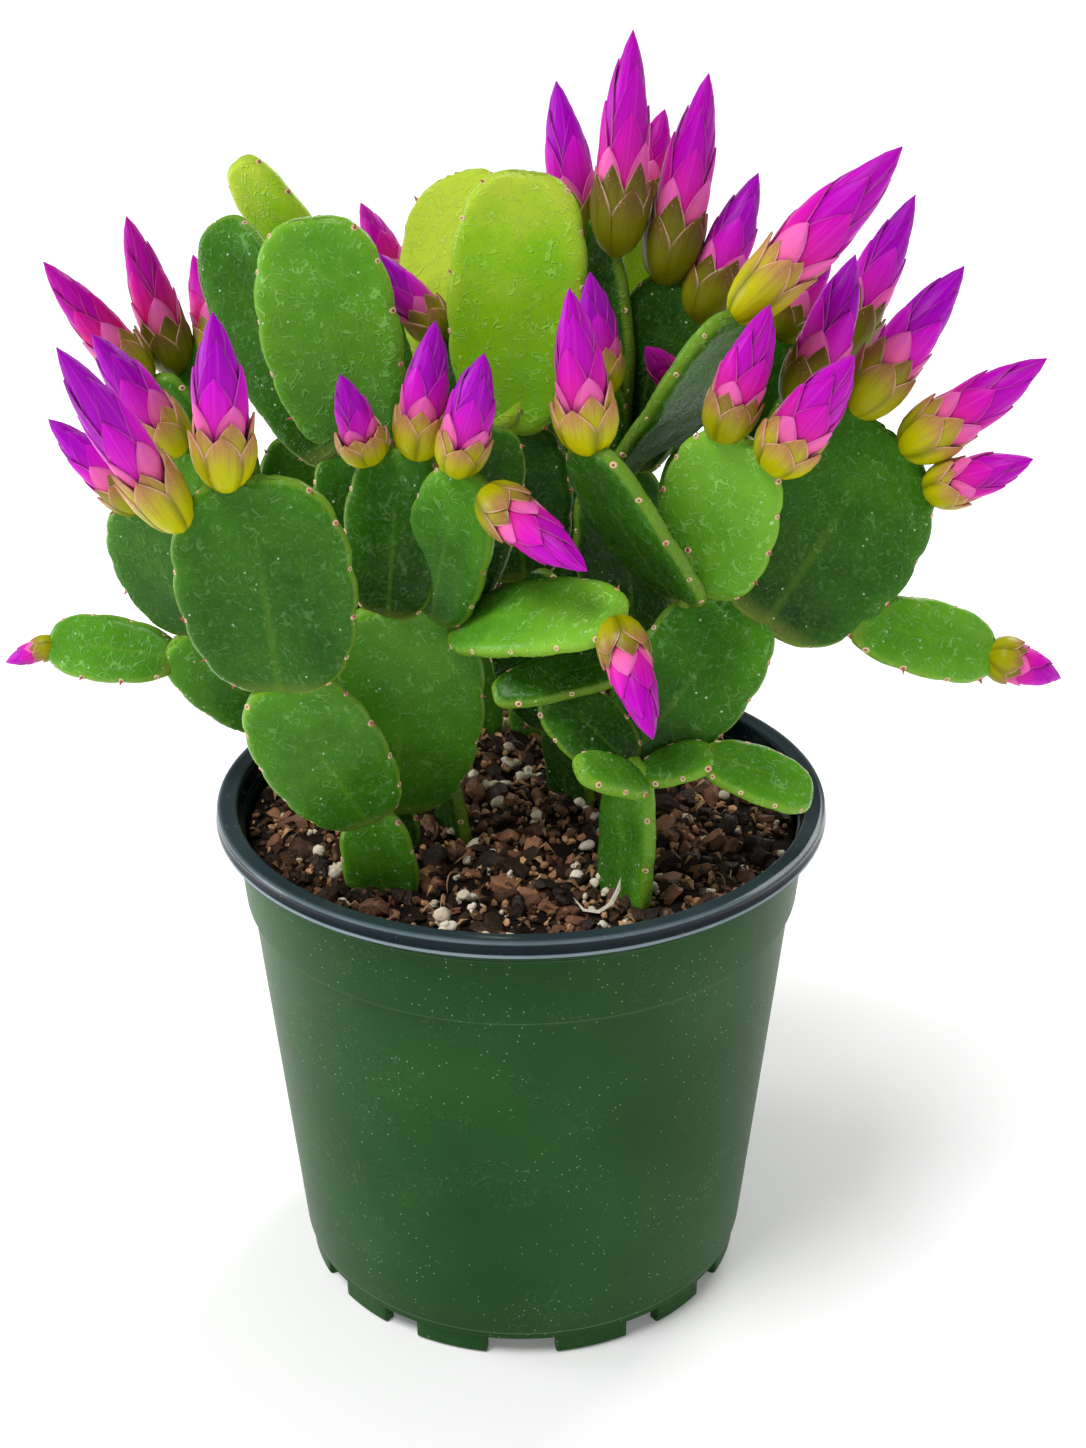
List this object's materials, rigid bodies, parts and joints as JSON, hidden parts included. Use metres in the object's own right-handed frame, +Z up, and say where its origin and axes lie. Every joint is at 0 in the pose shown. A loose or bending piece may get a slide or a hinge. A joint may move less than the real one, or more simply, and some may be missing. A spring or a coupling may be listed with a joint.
{
  "type": "potted easter cactus",
  "caption": "Easter cactus with flat jointed green pads and closed pink-violet flower buds, in a round green plastic nursery pot of potting mix.",
  "frame": {"origin": "on the ground under the middle of the pot", "axes": "+Z up, -Y towards the front that the picture shows, +X to that view's right"},
  "size_m": [0.261, 0.1544, 0.317],
  "materials": {
    "pot_plastic": "satin moulded plastic",
    "potting_mix": "rough loose bark mix",
    "pad_skin": "waxy satin plant skin",
    "petal_skin": "satin petals"
  },
  "bodies": {
    "root": {"petals_01": "petal_skin", "petals_02": "petal_skin", "petals_03": "petal_skin", "petals_04": "petal_skin", "petals_05": "petal_skin", "petals_06": "petal_skin", "petals_07": "petal_skin", "petals_08": "petal_skin", "petals_09": "petal_skin", "petals_10": "petal_skin", "petals_11": "petal_skin", "petals_12": "petal_skin", "petals_13": "petal_skin", "petals_14": "petal_skin", "petals_15": "petal_skin", "petals_16": "petal_skin", "petals_17": "petal_skin", "petals_18": "petal_skin", "petals_19": "petal_skin", "petals_20": "petal_skin", "petals_21": "petal_skin", "petals_22": "petal_skin", "petals_23": "petal_skin", "petals_24": "petal_skin", "petals_25": "petal_skin", "petals_26": "petal_skin", "petals_27": "petal_skin", "petals_28": "petal_skin", "petals_29": "petal_skin", "petals_30": "petal_skin", "petals_31": "petal_skin", "petals_32": "petal_skin", "petals_33": "petal_skin", "petals_34": "petal_skin", "petals_35": "petal_skin", "petals_36": "petal_skin", "petals_37": "petal_skin", "petals_38": "petal_skin", "petals_39": "petal_skin", "petals_40": "petal_skin", "petals_41": "petal_skin", "pot": "pot_plastic", "potting_mix": "potting_mix", "stem_back": "pad_skin", "stem_back_centre": "pad_skin", "stem_back_left": "pad_skin", "stem_back_right": "pad_skin", "stem_centre": "pad_skin", "stem_front_left": "pad_skin", "stem_inner_left": "pad_skin", "stem_inner_right": "pad_skin", "stem_left": "pad_skin", "stem_middle": "pad_skin", "stem_right": "pad_skin"}
  },
  "joints": []
}
